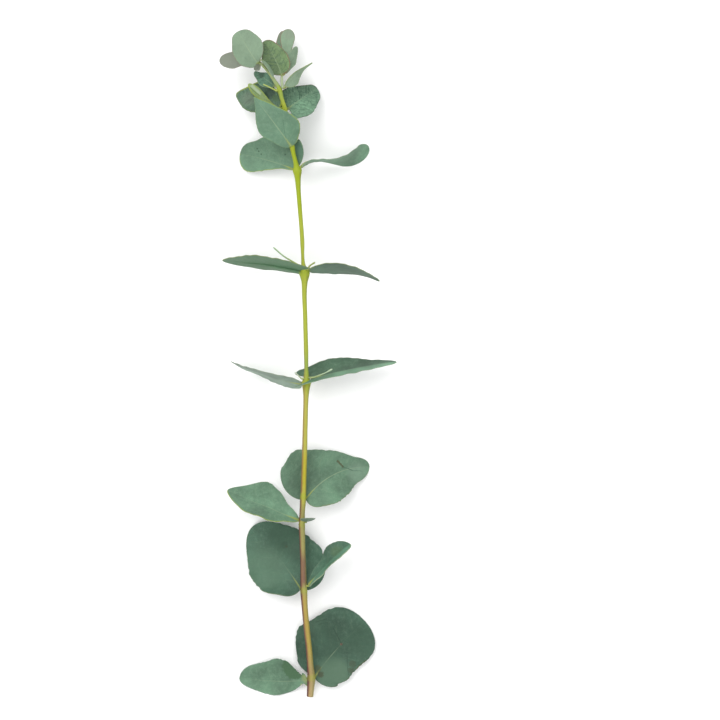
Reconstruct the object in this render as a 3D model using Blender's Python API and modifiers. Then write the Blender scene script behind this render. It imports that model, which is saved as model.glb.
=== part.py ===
"""A cut eucalyptus branch lying on a table: one stem with opposite pairs of round, stalkless leaves.

Metres, +Z up, the branch runs along Y with its cut end at -Y. The origin is on the surface it lies on,
below the middle of the branch.
"""
import math

import bpy
import bmesh
import numpy as np

# ---- driving dimensions -----------------------------------------------------------------------
PX = 0.00065                    # one unit of the plan, in metres, at the height REF_H
MM = 0.001
VIEW_H = 1.50                   # the plan is laid out as seen from this far above the surface
REF_H = 0.018
PLAN_X, PLAN_Y = 308.2, 363.64  # the plan point over the origin
GROUND = 0.25                   # the plan's height of the surface, in mm
CENTRE = 360.0                  # the middle of the plan

LEAF_THICKNESS = 0.0007
YOUNG_THICKNESS = 0.0005
LEAF_GAP = 0.03                 # the part of a leaf's length left out next to the stem
LEAF_ROWS, LEAF_COLUMNS = 10, 8
STEM_STEPS = 88
ROUND_SIDES = 2                 # bevel resolution of stem and shoots

# The main stem from its cut end to the tip of the left arm: plan x and y, height and radius in millimetres.
# It is thicker at each leaf node.
STEM = [
    (310.0, 696.5, 5.8, 2.15), (310.6, 688, 6.3, 2.30), (311.2, 677, 7.4, 2.60), (310.4, 668, 8.2, 2.20),
    (309.0, 650, 9.8, 2.00), (306.8, 630, 11.5, 1.98), (304.6, 605, 13.4, 2.00), (303.8, 590, 14.6, 2.25),
    (303.6, 584, 15.0, 2.10), (303.2, 565, 15.8, 1.85), (302.3, 540, 16.5, 1.85), (301.8, 524, 17.0, 2.05),
    (302.2, 514, 17.2, 1.82), (303.2, 496, 17.4, 1.92), (303.6, 484, 17.5, 1.78), (304.6, 450, 17.8, 1.72),
    (305.3, 420, 18.0, 1.70), (306.0, 395, 18.2, 1.80), (306.4, 382, 18.3, 2.45), (306.4, 374, 18.4, 1.62),
    (306.0, 350, 18.6, 1.50), (305.1, 315, 18.8, 1.46), (304.4, 294, 19.0, 1.55), (304.5, 284, 19.05, 1.80), (304.5, 273.5, 19.1, 2.65),
    (303.4, 266, 19.2, 1.52), (302.2, 240, 19.4, 1.36), (300.0, 210, 19.6, 1.40), (298.3, 188, 19.6, 1.58),
    (297.8, 178, 19.6, 1.90), (297.3, 170.5, 19.6, 2.40), (295.8, 163, 19.7, 1.55), (293.6, 154, 20.0, 1.35), (292.0, 146, 20.4, 1.60),
    (290.2, 138, 21.0, 1.25), (287.4, 124, 22.2, 1.25), (284.6, 108, 23.2, 1.50), (281.6, 98, 23.8, 1.25),
    (279.2, 89, 24.4, 1.50), (275.2, 82, 25.4, 1.20), (270.0, 74, 26.8, 1.00), (263.6, 66.5, 28.0, 0.88),
    (259.0, 61.6, 28.7, 0.80),
]

# The right arm of the fork and the bare side shoots in the axils, given the same way.
SHOOTS = {
    "right_arm": [(282.6, 88.0, 25.0, 0.90), (282.0, 84, 25.2, 0.88), (281.8, 79, 25.3, 0.86), (282.0, 75.5, 25.3, 0.84)],
    "shoot_5_right": [(313.5, 377.5, 21.6, 0.42), (319, 375.4, 23.6, 0.42), (325, 373, 25.2, 0.42), (332.5, 369, 26.6, 0.55)],
    "shoot_5_left": [(301.4, 378.6, 20.6, 0.42), (298.4, 375.6, 22.8, 0.42), (294.8, 372.2, 24.8, 0.50)],
    "shoot_6_left": [(300.2, 266.0, 20.4, 0.50), (294, 262.4, 20.8, 0.50), (284, 256.4, 20.4, 0.48), (273, 247, 19.4, 0.45)],
    "shoot_6_right": [(307.6, 268.8, 21.8, 0.55), (310.4, 265.4, 23.8, 0.55), (315.2, 262.2, 25.0, 0.50)],
    "shoot_fork": [(276.2, 90.6, 25.4, 0.50), (270, 87.4, 25.6, 0.48), (263, 84.2, 24.6, 0.45)],
}

# Each leaf: points of its midrib from base to tip (plan x and y, height in mm); the blade's roll about the
# midrib at base, middle and tip in degrees (0 faces up, + raises the right side); half widths of its left
# and right side at 0.2, 0.4, 0.6 and 0.8 of the midrib, in plan units; how round base and tip are; half
# width at the very base, how far its two corners reach back and how soon they end along the midrib; instead of
# that, how far two round lobes reach back and how far forward their outer ends lie; how much the blade is
# cupped; the waves of its margin (height in mm, number, phase).
LEAVES = {
    "leaf_1_left": dict(
        rib=[(307.4, 680.0, 6.8), (274, 681.0, 1.3), (239.5, 677.5, 1.6)], roll=(20, 4, 0),
        left=(9.5, 13.5, 13.5, 9.5), right=(20.5, 24.5, 21, 16), round=(0.4, 1.15), wave=(0.9, 3.0, 0.4),
        base_w=(7, 9), base_fall=22),
    "leaf_1_right": dict(
        rib=[(315.0, 677.0, 4.4), (336, 650, 1.5), (365, 621, 1.8)], roll=(6, 3, 0),
        left=(34, 43, 38, 34), right=(26, 28, 29, 29), round=(0.95, 1.25), base_w=(24, 24), base_fall=4.5, lobe=(1, 3), rise=(4, 5),
        wave=(0.8, 3.0, 1.0)),
    "leaf_2_left": dict(
        rib=[(300.2, 588.0, 11.8), (279, 558, 5.6), (252, 527, 1.0)], roll=(-12, 2, 8),
        left=(30, 34, 32.5, 22.5), right=(36, 37.5, 34.5, 24), round=(1.05, 0.95), base_w=(20, 34), base_fall=4,
        lobe=(3.5, 8.2), rise=(4, 9),
        wave=(0.8, 3.0, 0.0)),
    "leaf_2_right": dict(
        rib=[(308.6, 585.0, 17.0), (327.5, 564, 24), (350.5, 544, 22)], roll=(45, 62, 50),
        left=(7, 10.5, 15, 14), right=(5, 11, 12, 8), round=(0.9, 1.2), wave=(0.5, 2.0, 0.0),
        cup=(0.3, 0.3), base_w=(3, 3)),
    "leaf_3_left": dict(
        rib=[(299.0, 520.3, 17.0), (264, 506, 19.0), (227.5, 490, 13.0)], roll=(-35, -48, -40),
        left=(9, 18, 19, 13.5), right=(13, 23.5, 28, 17.5), round=(0.8, 0.6), wave=(0.5, 3.0, 0.0)),
    "leaf_3_front": dict(
        rib=[(306, 521.6, 19.2), (308, 519.8, 30), (309.5, 518.0, 42)], roll=(0, 0, 0), up=(0, 1, 0),
        left=(6, 7.5, 7, 5), right=(6, 7.5, 7, 5)),
    "leaf_4_right": dict(
        rib=[(306.4, 498.0, 14.4), (335, 474, 8.5), (369.5, 467, 1.0)], roll=(10, 10, 0),
        left=(38.5, 31, 22, 11.5), right=(25.5, 26, 23, 15.5), round=(1.1, 1.15), base_w=(38, 18), base_fall=4.5,
        lobe=(8.5, 3.8), rise=(9.5, 4), wave=(0.8, 3.0, 2.0)),
    "leaf_5_left": dict(
        rib=[(302.0, 384.0, 16.8), (266, 375.5, 13.5), (231, 362, 5.0)], roll=(55, 80, 80),
        left=(14, 19, 19, 12), right=(12, 19, 19, 12), round=(0.9, 0.9), cup=(0.05, 0.0), base_w=(9, 3)),
    "leaf_5_right": dict(
        rib=[(311.0, 379.0, 18.8), (350, 369.5, 20.0), (396.5, 361.6, 12)], roll=(64, 64, 66),
        left=(19, 20.5, 17, 10), right=(10, 15, 15, 10), round=(0.9, 0.9), base_w=(18, 12), back=(32, 28),
        cup=(0.25, 0.2)),
    "leaf_6_left": dict(
        rib=[(300.3, 270.8, 19.4), (263, 264.2, 15.5), (222.8, 261.4, 5.0)], roll=(-102, -105, -107),
        left=(20, 23, 22, 14), right=(18, 20, 20, 13), round=(0.9, 0.9), base_w=(20, 18), back=(18, 8),
        cup=(0.05, 0.05)),
    "leaf_6_right": dict(
        rib=[(309.4, 271.0, 19.2), (346, 269.6, 17.0), (379.5, 281.5, 11.0)], roll=(-70, -77, -80),
        left=(15, 19, 17, 10), right=(14, 19, 17, 10), round=(1.0, 0.8), cup=(0.0, 0.0), base_w=(8, 5)),
    "leaf_7_left": dict(
        rib=[(293.6, 169.0, 17.0), (267, 160.0, 9.0), (240.0, 154, 2.5)], roll=(-4, 0, 0),
        left=(4, 9, 14, 16), right=(22, 22, 22, 15), round=(1.0, 1.2), wave=(0.5, 3.0, 0.0),
        base_w=(1.5, 29), base_fall=4, lobe=(0, 5.6), rise=(0, 6)),
    "leaf_7_right": dict(
        rib=[(301.7, 168.0, 19.8), (319, 160.6, 17.8), (344, 159.0, 11.0), (368.5, 146.0, 4.0)], roll=(-82, -88, -40),
        left=(11, 15, 16, 14), right=(11, 15, 16, 14), round=(0.9, 1.0), cup=(0.0, 0.05)),
    "leaf_8_front": dict(
        rib=[(291, 146, 22.6), (271.5, 119.5, 28.5), (254.0, 97, 25.0)], roll=(0, 8, 0),
        left=(12, 17.5, 14.5, 7), right=(20, 18.5, 12.5, 6.5), round=(1.0, 0.35), base_w=(3, 10), lobe=(0, 1), rise=(0, 3)),
    "leaf_8_young": dict(
        rib=[(280.4, 110.6, 23.0), (264.8, 99.6, 23.2), (248.5, 83.8, 22.4)], roll=(0, 0, 0),
        left=(1.2, 2.0, 3.4, 4.2), right=(1.5, 2.5, 4, 4.5), cup=(0.5, 0.5)),
    "leaf_9_left": dict(
        rib=[(280.4, 107.4, 21.8), (260, 99, 18.6), (236, 94.5, 13.0)], roll=(-10, 0, 0),
        left=(11, 14, 15, 12.5), right=(13, 17.5, 16.5, 9.3), round=(1.0, 0.7)),
    "leaf_9_right": dict(
        rib=[(288.0, 108.5, 19.9), (301, 99, 13.8), (317, 88, 8.0)], roll=(25, 8, 0),
        left=(16.5, 17, 14, 9), right=(18.5, 19.5, 17, 13), round=(1.0, 1.2), base_w=(13, 19), back=(14, 17),
        wave=(0.7, 3.0, 1.0)),
    "crown_leaf_back": dict(
        rib=[(274.4, 86.2, 22.8), (265.4, 79, 22.6), (254.3, 72, 21.2)], roll=(0, 0, 0),
        left=(6, 8, 8, 5), right=(6, 7, 6, 3), round=(1.0, 1.1)),
    "crown_leaf_left_tip": dict(
        rib=[(257.5, 63, 30.7), (247.5, 48, 33.0), (238.5, 31, 31.0)], roll=(0, 0, 0),
        left=(14, 16, 15, 11), right=(12, 15.5, 15, 12), round=(1.0, 1.2), base_w=(8, 3), back=(3, 0)),
    "crown_leaf_left_side": dict(
        rib=[(256, 62, 27.6), (238, 61, 24.0), (219.5, 60.5, 20.0)], roll=(0, 0, 0),
        left=(3, 5, 8, 7), right=(4, 7, 9, 7.5), round=(1.0, 1.1)),
    "crown_leaf_left_low": dict(
        rib=[(260, 64, 26.6), (257, 67, 25.4), (254.5, 70, 23.4)], roll=(0, 0, 0),
        left=(3, 4, 4, 2.5), right=(2, 3, 3, 2)),
    "crown_leaf_sliver": dict(
        rib=[(262.0, 60.0, 31.7), (268.0, 68.0, 33.2), (273.5, 77.0, 32.2)], roll=(60, 70, 60),
        left=(4, 5, 5, 4), right=(4, 5, 5, 4)),
    "crown_leaf_right_tip": dict(
        rib=[(281.5, 75, 27.0), (275, 59, 28.5), (264, 41, 26.0)], roll=(0, 0, 0),
        left=(10.5, 12, 13, 8), right=(11.5, 13, 12, 9), round=(1.1, 1.1)),
    "crown_leaf_right_side": dict(
        rib=[(285.4, 73.0, 24.4), (292, 60, 22.0), (296.5, 46.5, 18.0)], roll=(0, 0, 0),
        left=(7, 9, 7, 4), right=(3, 5, 4, 3), round=(1.0, 1.1)),
    "crown_leaf_right_mid": dict(
        rib=[(284.0, 70, 21.4), (287, 50, 18.2), (288.5, 29, 13.0)], roll=(0, 0, 0),
        left=(4, 5, 6.5, 8), right=(4, 4.5, 5.5, 7), round=(1.0, 1.2)),
    "crown_leaf_right_back": dict(
        rib=[(282.3, 71, 18.8), (281.4, 52, 15.0), (282.8, 31, 9.0)], roll=(0, 0, 0),
        left=(4, 5, 6, 5), right=(4, 5, 6, 5), round=(1.0, 1.1)),
    "crown_leaf_fork": dict(
        rib=[(285.5, 87.0, 25.0), (294, 76, 23.5), (312.4, 62.8, 17.0)], roll=(0, 0, 0),
        left=(2, 2.5, 2.5, 1.5), right=(7.5, 8.5, 5, 1.6), round=(1.0, 0.7)),
}
YOUNG = {"leaf_8_young", "crown_leaf_left_low", "crown_leaf_sliver", "crown_leaf_fork"}

# Colour and roughness of the parts.
SAGE = (0.150, 0.270, 0.190)
DEEP = (0.075, 0.170, 0.120)
PALE = (0.280, 0.400, 0.290)
YELLOW_GREEN = (0.420, 0.470, 0.080)
COLOURS = {
    "leaf_1_right": DEEP, "leaf_2_left": DEEP, "leaf_9_right": DEEP, "crown_leaf_back": DEEP,
    "crown_leaf_right_tip": DEEP, "leaf_8_young": PALE, "crown_leaf_left_tip": PALE, "crown_leaf_fork": PALE,
    "crown_leaf_right_mid": PALE, "crown_leaf_sliver": PALE,
}


def plan(px, py, z_mm):
    """The point at plan position px, py that stands z_mm above the surface."""
    z = (z_mm - GROUND) * MM
    k = (VIEW_H - z) / (VIEW_H - REF_H)
    x = (CENTRE - PLAN_X) * PX + (px - CENTRE) * PX * k
    y = (PLAN_Y - CENTRE) * PX - (py - CENTRE) * PX * k
    return np.array((x, y, z))


def through(stations, values, at):
    """A smooth curve through the values at the stations, read at the given places."""
    stations, values = np.asarray(stations, float), np.asarray(values, float)
    slope = np.gradient(values, stations)
    i = np.clip(np.searchsorted(stations, at, side="right") - 1, 0, len(stations) - 2)
    h = stations[i + 1] - stations[i]
    t = (at - stations[i]) / h
    return (
        (2 * t**3 - 3 * t**2 + 1) * values[i]
        + (t**3 - 2 * t**2 + t) * h * slope[i]
        + (3 * t**2 - 2 * t**3) * values[i + 1]
        + (t**3 - t**2) * h * slope[i + 1]
    )


def half_width(widths, round_base, round_tip, u):
    """Half width of one side of a blade: an ellipse, swelled or pinched to pass through the four widths."""
    at = np.array((0.2, 0.4, 0.6, 0.8))
    swell = np.array(widths, float) / (2 * np.sqrt(at * (1 - at)))
    swell = np.concatenate(([swell[0] * round_base], swell, [swell[-1] * round_tip]))
    swell = through((0.0, 0.2, 0.4, 0.6, 0.8, 1.0), swell, u)
    return 2 * np.sqrt(np.clip(u * (1 - u), 0, 1)) * np.maximum(swell, 0.0)


def midrib(points, u):
    """The midrib's points and unit directions: the lowest-degree curve through the given points."""
    points = np.array([plan(*p) for p in points])
    n = len(points)
    stations = np.linspace(0, 1, n)
    terms = np.linalg.solve(np.vander(stations, n, increasing=True), points)
    rib = np.vander(u, n, increasing=True) @ terms
    along = np.vander(u, n - 1, increasing=True) @ (terms[1:] * np.arange(1, n)[:, None])
    return rib, along / np.linalg.norm(along, axis=1)[:, None], terms[1] / np.linalg.norm(terms[1])


def blade(leaf, u, v):
    """Points of a blade's middle surface, u from 0 to 1 along the midrib and v from -1 (left) to 1 (right)."""
    u, v = np.asarray(u, float), np.asarray(v, float)
    rib, along, first = midrib(leaf["rib"], u)
    side = np.cross(along, np.array(leaf.get("up", (0.0, 0.0, 1.0)), float))
    side /= np.linalg.norm(side, axis=1)[:, None]
    top = np.cross(side, along)
    roll = np.radians(through((0.0, 0.5, 1.0), leaf["roll"], u))[:, None]
    side, top = np.cos(roll) * side + np.sin(roll) * top, np.cos(roll) * top - np.sin(roll) * side
    round_base, round_tip = leaf.get("round", (1.0, 1.0))
    width = np.where(
        v < 0,
        half_width(leaf["left"], round_base, round_tip, u),
        half_width(leaf["right"], round_base, round_tip, u),
    )
    base_w, back = leaf.get("base_w", (1.5, 1.5)), leaf.get("back", (0.0, 0.0))
    base_w = np.where(v < 0, base_w[0], base_w[1])
    base = base_w * (1 - u) ** leaf.get("base_fall", 3)
    back = np.where(v < 0, back[0], back[1])
    width = np.sqrt(width**2 + base**2 + (0.6 * u**6) ** 2)
    y = v * width * PX
    cup0, cup1 = leaf.get("cup", (0.15, 0.15))
    lift = (cup0 + (cup1 - cup0) * u) * y * y / (0.5 * (max(leaf["left"]) + max(leaf["right"])) * PX)
    height, number, phase = leaf.get("wave", (0.0, 3.0, 0.0))
    lift = lift + height * MM * np.sin(2 * np.pi * number * u + phase + 1.3 * v) * v * v * np.sin(np.pi * u)
    reach = ((0.4 * back + 0.35 * base_w) * v**6 - back * np.abs(v) ** 1.6) * (1 - u) ** 5
    if "lobe" in leaf:
        lobe = np.where(v < 0, leaf["lobe"][0], leaf["lobe"][1])
        rise = np.where(v < 0, leaf["rise"][0], leaf["rise"][1])
        far = np.clip(np.abs(v), 0, 1)
        reach = (rise * far**3 - 2 * lobe * np.sqrt(far * (1 - far))) * (1 - u) ** 4
    return rib + side * y[:, None] + top * lift[:, None] + PX * reach[:, None] * first


def remove_startup_objects():
    for thing in list(bpy.data.objects):
        bpy.data.objects.remove(thing, do_unlink=True)


def material(name, colour, roughness):
    made = bpy.data.materials.new(name)
    made.use_nodes = True
    shader = made.node_tree.nodes["Principled BSDF"]
    shader.inputs["Base Color"].default_value = (*colour, 1.0)
    shader.inputs["Roughness"].default_value = roughness
    shader.inputs["Metallic"].default_value = 0.0
    return made


def add_leaf(name, leaf, collection):
    """A leaf: an open grid laid on its blade, made solid."""
    form = bmesh.new()
    bmesh.ops.create_grid(form, x_segments=LEAF_ROWS, y_segments=LEAF_COLUMNS, size=1.0)
    form.verts.ensure_lookup_table()
    along = np.array([vert.co.x for vert in form.verts])
    across = np.array([vert.co.y for vert in form.verts])
    u = 0.5 - 0.5 * np.cos(math.pi * (along + 1) / 2)
    start = leaf.get("start", LEAF_GAP)
    for vert, point in zip(form.verts, blade(leaf, start + (1 - start) * u, across)):
        vert.co = point
    mesh = bpy.data.meshes.new(name)
    form.to_mesh(mesh)
    form.free()
    mesh.shade_smooth()
    thing = bpy.data.objects.new(name, mesh)
    collection.objects.link(thing)
    solid = thing.modifiers.new("thickness", "SOLIDIFY")
    solid.thickness = YOUNG_THICKNESS if name in YOUNG else LEAF_THICKNESS
    solid.offset = 0.0
    mesh.materials.append(material(name, COLOURS.get(name, SAGE), 0.55))
    return thing


def add_shoot(name, points, steps, collection, colour):
    """A round stem through the given points, tapering with their radii, its ends closed."""
    centres = np.array([plan(x, y, z) for x, y, z, _ in points])
    radii = np.array([r for *_, r in points])
    run = np.concatenate(([0.0], np.cumsum(np.linalg.norm(np.diff(centres, axis=0), axis=1))))
    at = np.linspace(0.0, run[-1], steps)
    path = np.stack([through(run, centres[:, k], at) for k in range(3)], axis=1)
    thick = through(run, radii, at)
    curve = bpy.data.curves.new(name, "CURVE")
    curve.dimensions = "3D"
    curve.bevel_depth = MM
    curve.bevel_resolution = ROUND_SIDES
    curve.use_fill_caps = True
    spline = curve.splines.new("POLY")
    spline.points.add(steps - 1)
    for point, centre, radius in zip(spline.points, path, thick):
        point.co = (*centre, 1.0)
        point.radius = radius
    thing = bpy.data.objects.new(name, curve)
    collection.objects.link(thing)
    curve.materials.append(material(name, colour, 0.5))
    return thing


def main():
    remove_startup_objects()
    branch = bpy.data.collections.new("eucalyptus_branch")
    bpy.context.scene.collection.children.link(branch)
    add_shoot("main_stem", STEM, STEM_STEPS, branch, YELLOW_GREEN)
    for name, points in SHOOTS.items():
        add_shoot(name, points, 7, branch, PALE if name.startswith("shoot") else YELLOW_GREEN)
    for name, leaf in LEAVES.items():
        add_leaf(name, leaf, branch)


main()
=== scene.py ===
"""The looks of a cut eucalyptus branch: fine leaf blades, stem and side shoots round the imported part.

Metres, in the part's own frame: the branch lies along Y on z = 0, with its cut end at -Y.
"""
import math

import bpy
import numpy as np
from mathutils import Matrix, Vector


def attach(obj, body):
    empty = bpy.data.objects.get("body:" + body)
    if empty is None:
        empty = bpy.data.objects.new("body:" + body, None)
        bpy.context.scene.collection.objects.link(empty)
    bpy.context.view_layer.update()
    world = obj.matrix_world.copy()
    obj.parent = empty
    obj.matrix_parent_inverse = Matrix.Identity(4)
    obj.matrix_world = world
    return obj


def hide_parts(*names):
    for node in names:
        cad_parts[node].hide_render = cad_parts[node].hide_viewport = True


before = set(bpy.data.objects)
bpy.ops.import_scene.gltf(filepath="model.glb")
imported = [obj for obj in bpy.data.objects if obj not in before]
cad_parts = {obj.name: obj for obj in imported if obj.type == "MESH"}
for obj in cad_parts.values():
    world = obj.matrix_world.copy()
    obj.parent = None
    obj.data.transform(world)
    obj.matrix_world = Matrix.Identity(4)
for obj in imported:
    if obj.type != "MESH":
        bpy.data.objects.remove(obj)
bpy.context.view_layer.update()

# ---- driving dimensions -----------------------------------------------------------------------
PX = 0.00065                    # one unit of the plan, in metres, at the height REF_H
MM = 0.001
VIEW_H = 1.50                   # the plan is laid out as seen from this far above the surface
REF_H = 0.018
PLAN_X, PLAN_Y = 308.2, 363.64  # the plan point over the origin
GROUND = 0.25                   # the plan's height of the surface, in mm
CENTRE = 360.0                  # the middle of the plan


# The main stem from its cut end to the tip of the left arm: plan x and y, height and radius in millimetres.
# It is thicker at each leaf node.
STEM = [
    (310.0, 696.5, 5.8, 2.15), (310.6, 688, 6.3, 2.30), (311.2, 677, 7.4, 2.60), (310.4, 668, 8.2, 2.20),
    (309.0, 650, 9.8, 2.00), (306.8, 630, 11.5, 1.98), (304.6, 605, 13.4, 2.00), (303.8, 590, 14.6, 2.25),
    (303.6, 584, 15.0, 2.10), (303.2, 565, 15.8, 1.85), (302.3, 540, 16.5, 1.85), (301.8, 524, 17.0, 2.05),
    (302.2, 514, 17.2, 1.82), (303.2, 496, 17.4, 1.92), (303.6, 484, 17.5, 1.78), (304.6, 450, 17.8, 1.72),
    (305.3, 420, 18.0, 1.70), (306.0, 395, 18.2, 1.80), (306.4, 382, 18.3, 2.45), (306.4, 374, 18.4, 1.62),
    (306.0, 350, 18.6, 1.50), (305.1, 315, 18.8, 1.46), (304.4, 294, 19.0, 1.55), (304.5, 284, 19.05, 1.80), (304.5, 273.5, 19.1, 2.65),
    (303.4, 266, 19.2, 1.52), (302.2, 240, 19.4, 1.36), (300.0, 210, 19.6, 1.40), (298.3, 188, 19.6, 1.58),
    (297.8, 178, 19.6, 1.90), (297.3, 170.5, 19.6, 2.40), (295.8, 163, 19.7, 1.55), (293.6, 154, 20.0, 1.35), (292.0, 146, 20.4, 1.60),
    (290.2, 138, 21.0, 1.25), (287.4, 124, 22.2, 1.25), (284.6, 108, 23.2, 1.50), (281.6, 98, 23.8, 1.25),
    (279.2, 89, 24.4, 1.50), (275.2, 82, 25.4, 1.20), (270.0, 74, 26.8, 1.00), (263.6, 66.5, 28.0, 0.88),
    (259.0, 61.6, 28.7, 0.80),
]

# The right arm of the fork and the bare side shoots in the axils, given the same way.
SHOOTS = {
    "right_arm": [(282.6, 88.0, 25.0, 0.90), (282.0, 84, 25.2, 0.88), (281.8, 79, 25.3, 0.86), (282.0, 75.5, 25.3, 0.84)],
    "shoot_5_right": [(313.5, 377.5, 21.6, 0.42), (319, 375.4, 23.6, 0.42), (325, 373, 25.2, 0.42), (332.5, 369, 26.6, 0.55)],
    "shoot_5_left": [(301.4, 378.6, 20.6, 0.42), (298.4, 375.6, 22.8, 0.42), (294.8, 372.2, 24.8, 0.50)],
    "shoot_6_left": [(300.2, 266.0, 20.4, 0.50), (294, 262.4, 20.8, 0.50), (284, 256.4, 20.4, 0.48), (273, 247, 19.4, 0.45)],
    "shoot_6_right": [(307.6, 268.8, 21.8, 0.55), (310.4, 265.4, 23.8, 0.55), (315.2, 262.2, 25.0, 0.50)],
    "shoot_fork": [(276.2, 90.6, 25.4, 0.50), (270, 87.4, 25.6, 0.48), (263, 84.2, 24.6, 0.45)],
}

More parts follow.
